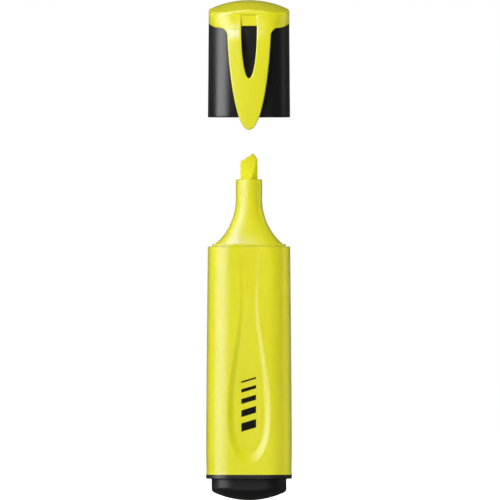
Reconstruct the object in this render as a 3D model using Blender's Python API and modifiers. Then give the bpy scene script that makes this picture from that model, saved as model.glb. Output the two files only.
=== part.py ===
"""Highlighter with its cap off: a flat-sided barrel, a bell-shaped neck with a chisel nib, the fibre
reservoir inside, a tail plug, and a two-colour cap with a springy clip.

Metres, +Z towards the nib, the clip and the thumb recess on the -Y side. The origin is the end of the
tail, on the pen's long axis. The cap stands in line above the nib, as far off as CAP_LIFT says.
"""

import math

import bmesh
import bpy
from mathutils import Matrix, Vector

MM = 0.001
GAP = 0.3 * MM  # between neighbouring pieces
OVERCUT = 2.0 * MM  # how far a cutter runs past what it cuts
AXIS_MERGE = 0.00001  # joins a turned shape's points on its axis
ARC_STEPS = 9  # points on each rounded corner of a section
TURN_STEPS = 36

# Barrel
TAIL_Z = 7.75 * MM
SHOULDER_Z = 76.14 * MM
TAIL_HALF_WIDTH = 12.9 * MM
SHOULDER_HALF_WIDTH = 12.35 * MM
HALF_DEPTH = 8.3 * MM
CORNER = 7.2 * MM
SIDE_WALL = 1.45 * MM
BACK_WALL = 1.35 * MM
FRONT_WALL = 2.1 * MM  # thicker, because the thumb recess is cut into it
MOUTH_DEPTH = 11.0 * MM
MOUTH_HALF_WIDTH = 10.5 * MM
MOUTH_HALF_DEPTH = 6.5 * MM
MOUTH_CORNER = 5.8 * MM
RIB_THICKNESS = 1.0 * MM
RIB_OFFSET = 2.2 * MM

# Thumb recess in the barrel's front
RECESS_END_Z = 10.9 * MM
FLOOR_END_Z = 15.3 * MM
BOWL_Z = 26.5 * MM
WAIST_Z = 61.6 * MM
BOWL_HALF_WIDTH = 6.55 * MM
WAIST_HALF_WIDTH = 2.8 * MM
TOP_HALF_WIDTH = 3.4 * MM
BOWL_DEPTH = 0.75 * MM
TOP_DEPTH = 0.2 * MM
RECESS_WALL = 2.1 * MM
WIDEST_WALL = 0.44  # of the recess's half width

# Nib section
COLLAR_HEIGHT = 0.7 * MM
COLLAR_HALF_WIDTH = 11.05 * MM
COLLAR_HALF_DEPTH = 7.0 * MM
COLLAR_CORNER = 6.3 * MM
NECK_TOP_Z = 96.3 * MM
NECK_RADIUS = 3.96 * MM
RIM_CHAMFER = 0.3 * MM
FLARE_TOP_Z = 90.5 * MM
FLARE_HEIGHT = 17.0 * MM  # of the quarter ellipse that the flare is the upper part of
FLARE_REACH_X = 16.1 * MM
FLARE_REACH_Y = 6.7 * MM
SPIGOT_LENGTH = 9.5 * MM
BORE_LENGTH = 8.8 * MM  # of the narrow bore that holds the nib

# Nib
NIB_RADIUS = 2.6 * MM
NIB_TOP = Vector((1.35, 0, 104.04)) * MM
NIB_SLANT = math.radians(32.6)
NIB_CHAMFER = math.radians(-57.0)
WEDGE_ANGLE = math.radians(13.5)
WEDGE_HALF_EDGE = 0.6 * MM
NIB_TAIL_Z = 69.0 * MM

# Reservoir
RESERVOIR_RADIUS = 4.6 * MM
RESERVOIR_Z = (13.0 * MM, 77.0 * MM)
WRAP_RADII = (4.9 * MM, 5.1 * MM)
WRAP_INSET = 0.6 * MM

# Tail plug
FLANGE_Z = (6.55 * MM, 7.45 * MM)
PLUG_HALF_WIDTH = 11.25 * MM
PLUG_HALF_DEPTH = 7.0 * MM
PLUG_CORNER = 6.2 * MM
DOME_RADIUS_X = 20.5 * MM
DOME_RADIUS_Y = 18.0 * MM
DOME_FILLET = 1.1 * MM
TAIL_LAND = 0.25  # the flat at the tail's end, as a share of the plug's size
PLUG_SPIGOT = 6.0 * MM
PLUG_WALL = 1.2 * MM

# Cap, in heights above its rim
CAP_LIFT = 38.76 * MM
RIM_HALF_WIDTH = 12.33 * MM
CROWN_HALF_WIDTH = 12.13 * MM
RIM_HALF_DEPTH = 8.25 * MM
CROWN_HALF_DEPTH = 8.15 * MM
CAP_WALL = 1.03 * MM
SKIRT_HEIGHT = 26.7 * MM
SKIRT_RISE = 1.4 * MM  # how much higher the crown's lower edge is at the cap's narrow sides
CROWN_TOP = 35.4 * MM
CROWN_RADIUS_X = 24.6 * MM
CROWN_RADIUS_Y = 11.9 * MM
CROWN_WALL = 1.25 * MM
CROWN_EDGE = 0.9 * MM
STEP_LENGTH = 4.0 * MM  # over which the shell's inside narrows below the crown
CEILING = 29.5 * MM
CEILING_WALL = 1.1 * MM

# Inner cap, in heights above the cap's rim
INNER_RADIUS = 4.4 * MM
INNER_WALL = 0.6 * MM
LIP_RADIUS = 4.12 * MM
LIP_HEIGHT = 14.0 * MM
LIP_LENGTH = 0.8 * MM
SOCKET_DEPTH = 4.0 * MM
SOCKET_WALL = 0.9 * MM

# Clip, in heights above the cap's rim
CLIP_TOP = 26.8 * MM
CLIP_TIP = -3.87 * MM
CLIP_HALF_WIDTH = 6.585 * MM
CLIP_TAPER = 1.6
CLIP_THICKNESS = 1.5 * MM
CLIP_PROUD = 3.0 * MM
TIP_PROUD = 2.0 * MM
CLIP_EDGE = 0.5 * MM
RAMP = (24.2 * MM, 30.4 * MM)
ROOT_FILLET = 2.3 * MM
ROOT_LENGTH = 5.0 * MM  # over which the tongue's back face leaves the shell
TIP_ROUND = 0.15 * MM  # the last section's distance from the very tip
CLIP_SPLIT = 26.4 * MM
SLOT_TOP = 27.2 * MM
SLOT_END = 11.9 * MM
SLOT_HALF_WIDTH = 2.3 * MM
SLOT_TAPER = 1.9

YELLOW = (0.78, 0.74, 0.02, 1)
INK_YELLOW = (0.72, 0.70, 0.02, 1)
BLACK = (0.012, 0.012, 0.013, 1)
MILKY = (0.75, 0.75, 0.72, 1)


# Scene and materials

def clear_scene():
    for obj in list(bpy.data.objects):
        bpy.data.objects.remove(obj, do_unlink=True)


def new_collection(name):
    collection = bpy.data.collections.new(name)
    bpy.context.scene.collection.children.link(collection)
    return collection


def new_material(name, colour, roughness, metallic=0.0):
    material = bpy.data.materials.new(name)
    material.use_nodes = True
    shader = material.node_tree.nodes["Principled BSDF"]
    shader.inputs["Base Color"].default_value = colour
    shader.inputs["Roughness"].default_value = roughness
    shader.inputs["Metallic"].default_value = metallic
    material.diffuse_color = colour
    return material


def new_empty(name, location):
    empty = bpy.data.objects.new(name, None)
    empty.location = location
    empty.empty_display_size = 5 * MM
    parts.objects.link(empty)
    return empty


def finish(obj, material, parent):
    obj.data.materials.append(material)
    obj.data.shade_smooth()
    obj.data.set_sharp_from_angle(angle=math.radians(35))
    obj.parent = parent
    return obj


# Sections and lofts

def section(half_width, half_depth, corner, centre_y=0.0):
    """Rounded rectangle as anticlockwise (x, y) points. Its flats are exact. Equal sizes make a circle."""
    step = math.pi / 2 / ARC_STEPS
    radius = corner / math.cos(step / 2)
    centres = ((1, 1), (-1, 1), (-1, -1), (1, -1))
    points = []
    for quarter, (side_x, side_y) in enumerate(centres):
        for i in range(ARC_STEPS):
            angle = quarter * math.pi / 2 + (i + 0.5) * step
            x = side_x * (half_width - corner) + radius * math.cos(angle)
            y = side_y * (half_depth - corner) + radius * math.sin(angle)
            points.append((x, y + centre_y))
    return points


def ring(points, height):
    """The section's points at a height, which is a number or a function of x and y."""
    if callable(height):
        return [Vector((x, y, height(x, y))) for x, y in points]
    return [Vector((x, y, height)) for x, y in points]


def scaled(points, factor):
    return [(x * factor, y * factor) for x, y in points]


def mesh_object(name, bm, collection):
    bmesh.ops.recalc_face_normals(bm, faces=bm.faces)
    mesh = bpy.data.meshes.new(name)
    bm.to_mesh(mesh)
    bm.free()
    obj = bpy.data.objects.new(name, mesh)
    collection.objects.link(obj)
    return obj


def loft(name, rings, collection, closed=False):
    """Skins rings with the same number of points. A closed loft joins its last ring to its first."""
    bm = bmesh.new()
    loops = [[bm.verts.new(point) for point in points] for points in rings]
    pairs = list(zip(loops, loops[1:]))
    if closed:
        pairs.append((loops[-1], loops[0]))
    else:
        bm.faces.new(loops[0])
        bm.faces.new(loops[-1])
    for low, high in pairs:
        for i in range(len(low)):
            j = (i + 1) % len(low)
            bm.faces.new((low[i], low[j], high[j], high[i]))
    return mesh_object(name, bm, collection)


def boxes(name, spans, collection):
    """One mesh of separate boxes, each given by its lowest and highest corner."""
    bm = bmesh.new()
    for low, high in spans:
        size = Vector(high) - Vector(low)
        middle = (Vector(high) + Vector(low)) / 2
        place = Matrix.Translation(middle) @ Matrix.Diagonal((*size, 1))
        bmesh.ops.create_cube(bm, size=1, matrix=place)
    return mesh_object(name, bm, collection)


def turned(name, profile, collection, closed=False):
    """Turns a profile of (radius, height) points, which runs down its outer side, about Z."""
    mesh = bpy.data.meshes.new(name)
    edges = [(i, i + 1) for i in range(len(profile) - 1)]
    if closed:
        edges.append((len(profile) - 1, 0))
    mesh.from_pydata([(radius, 0, height) for radius, height in profile], edges, [])
    obj = bpy.data.objects.new(name, mesh)
    collection.objects.link(obj)
    screw = obj.modifiers.new("Turn", "SCREW")
    screw.steps = TURN_STEPS
    screw.render_steps = TURN_STEPS
    screw.use_merge_vertices = True
    screw.merge_threshold = AXIS_MERGE
    return obj


def boolean(obj, other, operation, parent=None):
    other.hide_render = True
    other.display_type = "WIRE"
    other.parent = parent
    modifier = obj.modifiers.new(other.name, "BOOLEAN")
    modifier.operation = operation
    modifier.solver = "EXACT"
    modifier.object = other


def move_origin(obj, point):
    obj.data.transform(Matrix.Translation(-point))
    obj.location = point


def ease(value, start, end):
    """0 before start, 1 after end and a smooth change between them."""
    share = min(max((value - start) / (end - start), 0.0), 1.0)
    return share * share * (3 - 2 * share)


# Barrel

def barrel_half_width(z):
    share = (z - TAIL_Z) / (SHOULDER_Z - TAIL_Z)
    return TAIL_HALF_WIDTH - (TAIL_HALF_WIDTH - SHOULDER_HALF_WIDTH) * share ** 1.4


def cavity_section(z, clearance=0.0):
    """The barrel's inside, which leaves a thicker wall at the front."""
    half_depth = HALF_DEPTH - (FRONT_WALL + BACK_WALL) / 2 - clearance
    centre_y = (FRONT_WALL - BACK_WALL) / 2
    half_width = barrel_half_width(z) - SIDE_WALL - clearance
    return section(half_width, half_depth, CORNER - SIDE_WALL - clearance, centre_y)


def recess_half_width(z):
    if z < BOWL_Z:
        share = (BOWL_Z - z) / (BOWL_Z - RECESS_END_Z)
        return BOWL_HALF_WIDTH * math.sqrt(1 - share * share)
    if z < WAIST_Z:
        rise = (1 + math.cos(math.pi * (z - BOWL_Z) / (WAIST_Z - BOWL_Z))) / 2
        return WAIST_HALF_WIDTH + (BOWL_HALF_WIDTH - WAIST_HALF_WIDTH) * rise
    return WAIST_HALF_WIDTH + (TOP_HALF_WIDTH - WAIST_HALF_WIDTH) * ease(z, WAIST_Z, SHOULDER_Z)


def recess_depth(z):
    if z < FLOOR_END_Z:
        return BOWL_DEPTH * (z - RECESS_END_Z) / (FLOOR_END_Z - RECESS_END_Z)
    return BOWL_DEPTH + (TOP_DEPTH - BOWL_DEPTH) * ease(z, BOWL_Z, SHOULDER_Z)


def recess_ring(z):
    half = recess_half_width(z)
    floor = half - min(RECESS_WALL, WIDEST_WALL * half)
    front = -HALF_DEPTH
    bottom = front + recess_depth(z)
    outside = front - OVERCUT
    return [
        Vector((x, y, z))
        for x, y in (
            (half, front), (floor, bottom), (-floor, bottom),
            (-half, front), (-half, outside), (half, outside),
        )
    ]


def recess_cutter():
    """Rings crowd together at the bowl's round end and are even above it."""
    bowl_steps, upper_steps = 8, 12
    bowl_height = BOWL_Z - RECESS_END_Z
    upper_height = SHOULDER_Z + OVERCUT - BOWL_Z
    heights = [
        RECESS_END_Z + bowl_height * (1 - math.cos(math.pi / 2 * i / bowl_steps))
        for i in range(1, bowl_steps + 1)
    ]
    heights += [BOWL_Z + upper_height * i / upper_steps for i in range(1, upper_steps + 1)]
    return loft("recess_cutter", [recess_ring(z) for z in heights], cutters)


def reservoir_ribs():
    """Two ribs on each side wall, which reach in to the reservoir's wrap."""
    inner = math.sqrt(WRAP_RADII[1] ** 2 - (RIB_OFFSET - RIB_THICKNESS / 2) ** 2) + GAP
    outer = SHOULDER_HALF_WIDTH - SIDE_WALL / 2
    low = TAIL_Z + PLUG_SPIGOT + RIB_THICKNESS
    high = SHOULDER_Z - MOUTH_DEPTH - RIB_THICKNESS
    spans = []
    for side in (-1, 1):
        for y in (-RIB_OFFSET, RIB_OFFSET):
            near, far = sorted((side * inner, side * outer))
            spans.append((
                (near, y - RIB_THICKNESS / 2, low),
                (far, y + RIB_THICKNESS / 2, high),
            ))
    return boxes("reservoir_ribs", spans, cutters)


def make_barrel():
    steps = 6
    heights = [TAIL_Z + (SHOULDER_Z - TAIL_Z) * i / steps for i in range(steps + 1)]
    outside = [ring(section(barrel_half_width(z), HALF_DEPTH, CORNER), z) for z in heights]
    mouth = section(MOUTH_HALF_WIDTH, MOUTH_HALF_DEPTH, MOUTH_CORNER)
    mouth_z = SHOULDER_Z - MOUTH_DEPTH
    inside = [
        ring(mouth, SHOULDER_Z),
        ring(mouth, mouth_z),
        ring(cavity_section(mouth_z), mouth_z - MM),
        ring(cavity_section(TAIL_Z), TAIL_Z),
    ]
    barrel = loft("barrel", outside + inside, parts, closed=True)
    boolean(barrel, recess_cutter(), "DIFFERENCE")
    boolean(barrel, reservoir_ribs(), "UNION")
    return finish(barrel, yellow, body_origin)


# Nib section

def flare(z, reach):
    drop = min(max((FLARE_TOP_Z - z) / FLARE_HEIGHT, 0), 1)
    return NECK_RADIUS + reach * (1 - math.sqrt(1 - drop * drop))


def flare_ring(z):
    half_width = flare(z, FLARE_REACH_X)
    half_depth = flare(z, FLARE_REACH_Y)
    return ring(section(half_width, half_depth, half_depth), z)


def make_nib_section():
    collar_z = SHOULDER_Z + GAP
    collar_top = collar_z + COLLAR_HEIGHT
    spigot = section(MOUTH_HALF_WIDTH - GAP, MOUTH_HALF_DEPTH - GAP, MOUTH_CORNER - GAP)
    collar = section(COLLAR_HALF_WIDTH, COLLAR_HALF_DEPTH, COLLAR_CORNER)
    tip = NECK_RADIUS - RIM_CHAMFER
    rings = [
        ring(spigot, collar_z - SPIGOT_LENGTH),
        ring(spigot, collar_z),
        ring(collar, collar_z),
        ring(collar, collar_top),
    ]
    steps = 14
    flare_height = FLARE_TOP_Z - collar_top
    rings += [flare_ring(collar_top + flare_height * (i / steps) ** 1.3) for i in range(steps + 1)]
    rings += [
        ring(section(NECK_RADIUS, NECK_RADIUS, NECK_RADIUS), NECK_TOP_Z - RIM_CHAMFER),
        ring(section(tip, tip, tip), NECK_TOP_Z),
    ]
    neck = loft("nib_section", rings, parts)
    bore = NIB_RADIUS + GAP
    chamber = WRAP_RADII[1] + GAP
    hollow = [
        (0, NECK_TOP_Z + OVERCUT),
        (bore, NECK_TOP_Z + OVERCUT),
        (bore, NECK_TOP_Z - BORE_LENGTH),
        (chamber, RESERVOIR_Z[1] + OVERCUT),
        (chamber, collar_z - SPIGOT_LENGTH - OVERCUT),
        (0, collar_z - SPIGOT_LENGTH - OVERCUT),
    ]
    boolean(neck, turned("nib_section_bore", hollow, cutters), "DIFFERENCE")
    return finish(neck, yellow, body_origin)


# Nib and reservoir

def plane_off(bm, point, normal):
    """Cuts away what lies beyond a plane and closes the cut."""
    geometry = bm.verts[:] + bm.edges[:] + bm.faces[:]
    cut = bmesh.ops.bisect_plane(
        bm, geom=geometry, plane_co=point, plane_no=normal, clear_outer=True
    )
    edges = [item for item in cut["geom_cut"] if isinstance(item, bmesh.types.BMEdge)]
    bmesh.ops.contextual_create(bm, geom=edges)


def make_nib():
    """A round rod, cut to a slanted writing edge with a wedge face at its front and back."""
    length = NIB_TOP.z + OVERCUT - NIB_TAIL_Z
    bm = bmesh.new()
    bmesh.ops.create_cone(
        bm, cap_ends=True, segments=TURN_STEPS, radius1=NIB_RADIUS, radius2=NIB_RADIUS, depth=length,
        matrix=Matrix.Translation((0, 0, NIB_TAIL_Z + length / 2)),
    )
    edge_up = Vector((-math.sin(NIB_SLANT), 0, math.cos(NIB_SLANT)))
    plane_off(bm, NIB_TOP, edge_up)
    plane_off(bm, NIB_TOP, Vector((-math.sin(NIB_CHAMFER), 0, math.cos(NIB_CHAMFER))))
    for side in (-1, 1):
        on_edge = NIB_TOP + Vector((0, side * WEDGE_HALF_EDGE, 0))
        outward = Vector((0, side * math.cos(WEDGE_ANGLE), 0)) + edge_up * math.sin(WEDGE_ANGLE)
        plane_off(bm, on_edge, outward)
    return finish(mesh_object("nib", bm, parts), felt, body_origin)


def make_ink_reservoir():
    bottom, top = RESERVOIR_Z
    socket = NIB_RADIUS + GAP
    floor = NIB_TAIL_Z - GAP
    profile = [
        (0, floor),
        (socket, floor),
        (socket, top),
        (RESERVOIR_RADIUS, top),
        (RESERVOIR_RADIUS, bottom),
        (0, bottom),
    ]
    return finish(turned("ink_reservoir", profile, parts), felt, body_origin)


def make_reservoir_wrap():
    inner, outer = WRAP_RADII
    bottom, top = RESERVOIR_Z[0] + WRAP_INSET, RESERVOIR_Z[1] - WRAP_INSET
    profile = [(inner, top), (outer, top), (outer, bottom), (inner, bottom)]
    return finish(turned("reservoir_wrap", profile, parts, closed=True), film, body_origin)


# Tail plug

def tail_dome(x, y):
    drop_x = DOME_RADIUS_X - math.sqrt(DOME_RADIUS_X ** 2 - x * x)
    drop_y = DOME_RADIUS_Y - math.sqrt(DOME_RADIUS_Y ** 2 - y * y)
    return drop_x + drop_y


def make_tail_plug():
    low, high = FLANGE_Z
    flange = section(TAIL_HALF_WIDTH, HALF_DEPTH, CORNER)
    plug = section(PLUG_HALF_WIDTH, PLUG_HALF_DEPTH, PLUG_CORNER)
    spigot = cavity_section(TAIL_Z, GAP)
    pocket = cavity_section(TAIL_Z, GAP + PLUG_WALL)
    rings = [ring(scaled(plug, TAIL_LAND), 0)]
    rings += [ring(scaled(plug, factor), tail_dome) for factor in (0.4, 0.55, 0.7, 0.83, 0.93)]
    rings += [
        ring(scaled(plug, 0.985), lambda x, y: tail_dome(x, y) + DOME_FILLET / 3),
        ring(plug, lambda x, y: tail_dome(x, y) + DOME_FILLET),
        ring(plug, low),
        ring(flange, low),
        ring(flange, high),
        ring(spigot, high),
        ring(spigot, high + PLUG_SPIGOT),
        ring(pocket, high + PLUG_SPIGOT),
        ring(pocket, high),
    ]
    tail = loft("tail_plug", rings, parts)
    top = RESERVOIR_Z[0] - GAP
    arm = PLUG_HALF_WIDTH - PLUG_WALL
    stem = RIB_THICKNESS / 2
    stop = boxes("reservoir_stop", [((-arm, -stem, low), (arm, stem, top))], cutters)
    boolean(tail, stop, "UNION")
    return finish(tail, black, body_origin)


# Cap

def skirt_edge(x):
    """Height of the crown's lower edge, which rises towards the cap's narrow sides."""
    return SKIRT_HEIGHT + SKIRT_RISE * min(abs(x) / CROWN_HALF_WIDTH, 1) ** 10


def crown_dome(x, y):
    drop_x = CROWN_RADIUS_X - math.sqrt(CROWN_RADIUS_X ** 2 - x * x)
    drop_y = CROWN_RADIUS_Y - math.sqrt(CROWN_RADIUS_Y ** 2 - y * y)
    return CROWN_TOP - drop_x - drop_y


def make_cap_shell():
    """A tube closed at its top, with a step in its outside that carries the crown."""
    rim = section(RIM_HALF_WIDTH, RIM_HALF_DEPTH, CORNER)
    under_crown = section(CROWN_HALF_WIDTH, CROWN_HALF_DEPTH, CORNER)
    inset = CROWN_WALL + GAP
    step = section(CROWN_HALF_WIDTH - inset, CROWN_HALF_DEPTH - inset, CORNER - inset)
    step_heights = [skirt_edge(x) - GAP for x, _ in under_crown]
    rim_inside = section(RIM_HALF_WIDTH - CAP_WALL, RIM_HALF_DEPTH - CAP_WALL, CORNER - CAP_WALL)
    inside = section(
        CROWN_HALF_WIDTH - inset - CAP_WALL, CROWN_HALF_DEPTH - inset - CAP_WALL,
        CORNER - inset - CAP_WALL,
    )
    rings = [
        ring(step, CEILING + CEILING_WALL),
        [Vector((x, y, z)) for (x, y), z in zip(step, step_heights)],
        [Vector((x, y, z)) for (x, y), z in zip(under_crown, step_heights)],
        ring(rim, 0),
        ring(rim_inside, 0),
        ring(inside, SKIRT_HEIGHT - STEP_LENGTH),
        ring(inside, CEILING),
    ]
    shell = loft("cap_shell", rings, parts)
    socket = INNER_RADIUS + INNER_WALL + GAP
    profile = [
        (socket, CEILING + CEILING_WALL / 2),
        (socket + SOCKET_WALL, CEILING + CEILING_WALL / 2),
        (socket + SOCKET_WALL, CEILING - SOCKET_DEPTH),
        (socket, CEILING - SOCKET_DEPTH),
    ]
    boolean(shell, turned("inner_cap_socket", profile, cutters, closed=True), "UNION", cap_origin)
    return finish(shell, black, cap_origin)


def crown_rings():
    outside = section(CROWN_HALF_WIDTH, CROWN_HALF_DEPTH, CORNER)
    inside = section(
        CROWN_HALF_WIDTH - CROWN_WALL, CROWN_HALF_DEPTH - CROWN_WALL, CORNER - CROWN_WALL
    )
    edge = [skirt_edge(x) for x, _ in outside]
    rings = [ring(scaled(outside, factor), crown_dome) for factor in (0.1, 0.3, 0.5, 0.68, 0.83, 0.93)]
    rings += [
        ring(scaled(outside, 0.98), lambda x, y: crown_dome(x, y) - 0.2 * CROWN_EDGE),
        ring(outside, lambda x, y: crown_dome(x, y) - CROWN_EDGE),
        [Vector((x, y, z)) for (x, y), z in zip(outside, edge)],
        [Vector((x, y, z)) for (x, y), z in zip(inside, edge)],
    ]
    under = [0.999, 0.8, 0.5, 0.15]
    return rings + [
        ring(scaled(inside, factor), lambda x, y: crown_dome(x, y) - CROWN_WALL) for factor in under
    ]


def proud(height):
    """How far the clip's outer face stands in front of the cap's face."""
    rise = 1 - ease(height, *RAMP)
    along = min(max((RAMP[0] - height) / (RAMP[0] - CLIP_TIP), 0), 1)
    return (CLIP_PROUD + (TIP_PROUD - CLIP_PROUD) * along ** 2) * rise


def clip_half_width(height):
    share = min(max((CLIP_TOP - height) / (CLIP_TOP - CLIP_TIP), 0), 1)
    return CLIP_HALF_WIDTH * math.sqrt(1 - share ** CLIP_TAPER)


def root_fillet(height):
    """How much wider the tongue is where a concave fillet joins it to the crown's lower edge."""
    above = min(max(height - (SKIRT_HEIGHT - ROOT_FILLET), 0), ROOT_FILLET)
    return ROOT_FILLET - math.sqrt(ROOT_FILLET ** 2 - above ** 2)


def clip_ring(height, inner, outer):
    """Section of the tongue, whose sides lean outwards to the cap at its root."""
    half = clip_half_width(height) + root_fillet(height) / 2
    base = clip_half_width(height) + root_fillet(height)
    edge = min(CLIP_EDGE, 0.45 * half)
    return [
        Vector((x, y, height))
        for x, y in (
            (base, -inner), (-base, -inner), (-half, -outer + edge),
            (-half + edge, -outer), (half - edge, -outer), (half, -outer + edge),
        )
    ]


def slot_cutter(name):
    """Teardrop prism through the clip, drawn as a flat outline."""
    steps = 14
    side = []
    for i in range(steps):
        share = math.sin(math.pi / 2 * i / steps)
        side.append((
            SLOT_HALF_WIDTH * math.sqrt(1 - share ** SLOT_TAPER),
            SLOT_TOP + (SLOT_END - SLOT_TOP) * share,
        ))
    outline = side + [(0, SLOT_END)] + [(-x, z) for x, z in reversed(side)]
    bm = bmesh.new()
    near = CROWN_HALF_DEPTH + GAP / 2
    far = CROWN_HALF_DEPTH + CLIP_PROUD + OVERCUT
    face = bm.faces.new([bm.verts.new((x, -near, z)) for x, z in outline])
    pulled = bmesh.ops.extrude_face_region(bm, geom=[face])
    moved = [item for item in pulled["geom"] if isinstance(item, bmesh.types.BMVert)]
    bmesh.ops.translate(bm, vec=(0, near - far, 0), verts=moved)
    return mesh_object(name, bm, cutters)


def make_cap_crown():
    crown = loft("cap_crown", crown_rings(), parts)
    low, high = CLIP_SPLIT + GAP, RAMP[1] - GAP
    inner = CROWN_HALF_DEPTH - CROWN_WALL / 2
    steps = 6
    rings = []
    for i in range(steps + 1):
        height = low + (high - low) * i / steps
        rings.append(clip_ring(height, inner, CROWN_HALF_DEPTH + proud(height)))
    boolean(crown, loft("clip_root", rings, cutters), "UNION", cap_origin)
    notch = boxes(
        "clip_notch",
        [(
            (-SLOT_HALF_WIDTH, -CROWN_HALF_DEPTH - CLIP_PROUD - OVERCUT, CLIP_SPLIT - OVERCUT),
            (SLOT_HALF_WIDTH, -CROWN_HALF_DEPTH - GAP / 3, RAMP[1]),
        )],
        cutters,
    )
    boolean(crown, notch, "DIFFERENCE", cap_origin)
    return finish(crown, yellow, cap_origin)


def make_clip():
    """The springy tongue, with its origin on the bending axis at its root."""
    rings = []
    steps = 22
    for i in range(steps + 1):
        share = math.sin(math.pi / 2 * i / steps)
        height = CLIP_SPLIT + (CLIP_TIP + TIP_ROUND - CLIP_SPLIT) * share
        outer = CROWN_HALF_DEPTH + proud(height)
        lift = ease(CLIP_SPLIT - height, 0, ROOT_LENGTH)
        close = max(outer - CLIP_THICKNESS, RIM_HALF_DEPTH + 1.5 * GAP)
        inner = close + (outer - CLIP_THICKNESS - close) * lift
        rings.append(clip_ring(height, inner, outer))
    clip = loft("clip", rings, parts)
    boolean(clip, slot_cutter("clip_slot"), "DIFFERENCE", cap_origin)
    finish(clip, yellow, cap_origin)
    move_origin(clip, Vector((0, -CROWN_HALF_DEPTH - CLIP_THICKNESS, CLIP_SPLIT)))
    return clip


def make_inner_cap():
    """A thimble, open at the bottom, with a lip that seals on the neck."""
    top = CEILING - GAP
    outer = INNER_RADIUS + INNER_WALL
    profile = [
        (0, top),
        (outer, top),
        (outer, LIP_HEIGHT),
        (LIP_RADIUS, LIP_HEIGHT),
        (LIP_RADIUS, LIP_HEIGHT + LIP_LENGTH),
        (INNER_RADIUS, LIP_HEIGHT + 1.5 * LIP_LENGTH),
        (INNER_RADIUS, top - INNER_WALL),
        (0, top - INNER_WALL),
    ]
    return finish(turned("inner_cap", profile, parts), film, cap_origin)


clear_scene()
parts = new_collection("highlighter")
cutters = new_collection("cutters")
yellow = new_material("yellow_plastic", YELLOW, 0.35)
black = new_material("black_plastic", BLACK, 0.4)
felt = new_material("inked_fibre", INK_YELLOW, 0.9)
film = new_material("milky_plastic", MILKY, 0.4)
body_origin = new_empty("body_origin", (0, 0, 0))
cap_origin = new_empty("cap_origin", (0, 0, SHOULDER_Z + CAP_LIFT))
make_barrel()
make_nib_section()
make_nib()
make_ink_reservoir()
make_reservoir_wrap()
make_tail_plug()
make_cap_shell()
make_cap_crown()
make_clip()
make_inner_cap()
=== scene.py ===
"""Looks of the highlighter: fine meshes for its visible pieces, their plastics and fibre, and a pale studio.

Shapes are worked out in millimetres in the part's own frame (+Z towards the nib, the front at -Y) and
turned into metres when a mesh is made. Cap pieces are drawn in heights above the cap's rim.
"""

import math

import bmesh
import bpy
import numpy as np
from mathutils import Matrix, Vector


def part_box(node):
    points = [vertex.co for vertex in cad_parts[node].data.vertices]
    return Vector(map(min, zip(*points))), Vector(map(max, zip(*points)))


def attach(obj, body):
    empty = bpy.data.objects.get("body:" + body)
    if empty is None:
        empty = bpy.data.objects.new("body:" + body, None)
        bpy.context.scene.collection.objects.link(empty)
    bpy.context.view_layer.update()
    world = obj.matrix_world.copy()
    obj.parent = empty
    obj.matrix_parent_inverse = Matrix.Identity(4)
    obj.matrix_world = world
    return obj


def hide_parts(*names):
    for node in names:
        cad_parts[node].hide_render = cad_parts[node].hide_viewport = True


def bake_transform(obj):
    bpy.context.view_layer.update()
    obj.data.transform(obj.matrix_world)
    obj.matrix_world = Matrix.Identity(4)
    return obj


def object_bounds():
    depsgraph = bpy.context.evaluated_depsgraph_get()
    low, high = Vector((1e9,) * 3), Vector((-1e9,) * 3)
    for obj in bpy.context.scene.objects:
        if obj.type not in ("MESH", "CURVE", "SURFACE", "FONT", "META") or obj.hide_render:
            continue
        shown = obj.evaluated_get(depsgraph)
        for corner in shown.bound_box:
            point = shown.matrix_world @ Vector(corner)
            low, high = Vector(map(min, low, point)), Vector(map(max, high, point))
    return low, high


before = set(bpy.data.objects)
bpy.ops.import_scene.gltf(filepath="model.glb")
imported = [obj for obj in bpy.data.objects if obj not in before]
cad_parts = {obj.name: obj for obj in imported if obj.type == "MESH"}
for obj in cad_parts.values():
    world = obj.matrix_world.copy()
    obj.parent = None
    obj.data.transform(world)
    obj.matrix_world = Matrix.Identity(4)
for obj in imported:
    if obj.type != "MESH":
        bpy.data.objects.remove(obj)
cad_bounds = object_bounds()

MM = 0.001


def box_mm(node):
    low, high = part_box(node)
    return np.array(low) / MM, np.array(high) / MM


BARREL_LOW, BARREL_HIGH = box_mm("barrel")
NECK_LOW, NECK_HIGH = box_mm("nib_section")
NIB_LOW, NIB_HIGH = box_mm("nib")
PLUG_HIGH = box_mm("tail_plug")[1]
SHELL_LOW, SHELL_HIGH = box_mm("cap_shell")
CROWN_HIGH = box_mm("cap_crown")[1]
CLIP_LOW = box_mm("clip")[0]

# Barrel. A section's four step counts are for a corner, a side, the back and the front
TAIL_Z = BARREL_LOW[2]
SHOULDER_Z = BARREL_HIGH[2]
TAIL_HALF_WIDTH = BARREL_HIGH[0]
SHOULDER_HALF_WIDTH = SHELL_HIGH[0] + 0.02
TAPER_POWER = 1.4
HALF_DEPTH = BARREL_HIGH[1]
CORNER = 7.2
BARREL_WALL = 1.8
BARREL_STEPS = (40, 6, 10, 110)
MOUTH = (10.5, 6.5, 5.8)  # half width, half depth and corner of the hole in the shoulder
MOUTH_DEPTH = 11.0
MOUTH_STEP = 1.0  # height over which the mouth widens into the cavity
EDGE = 0.3
RIM_EDGE = 0.04
RIM_HEIGHT = 0.2
RIM_SLOPE = 0.22
RIM_STEP = 0.1
RIM_FADE_Z = (TAIL_Z + 1.25, TAIL_Z + 8.25)
RING_STARTS = (0.3, 0.14)  # the plain rings stop this far below the recess's end, and the fine ones start
FINE_RINGS_END_Z = TAIL_Z + 10.25
FINE_RING_STEP = 0.16
COARSE_RINGS = 170
PLAIN_RINGS = 6

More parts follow.
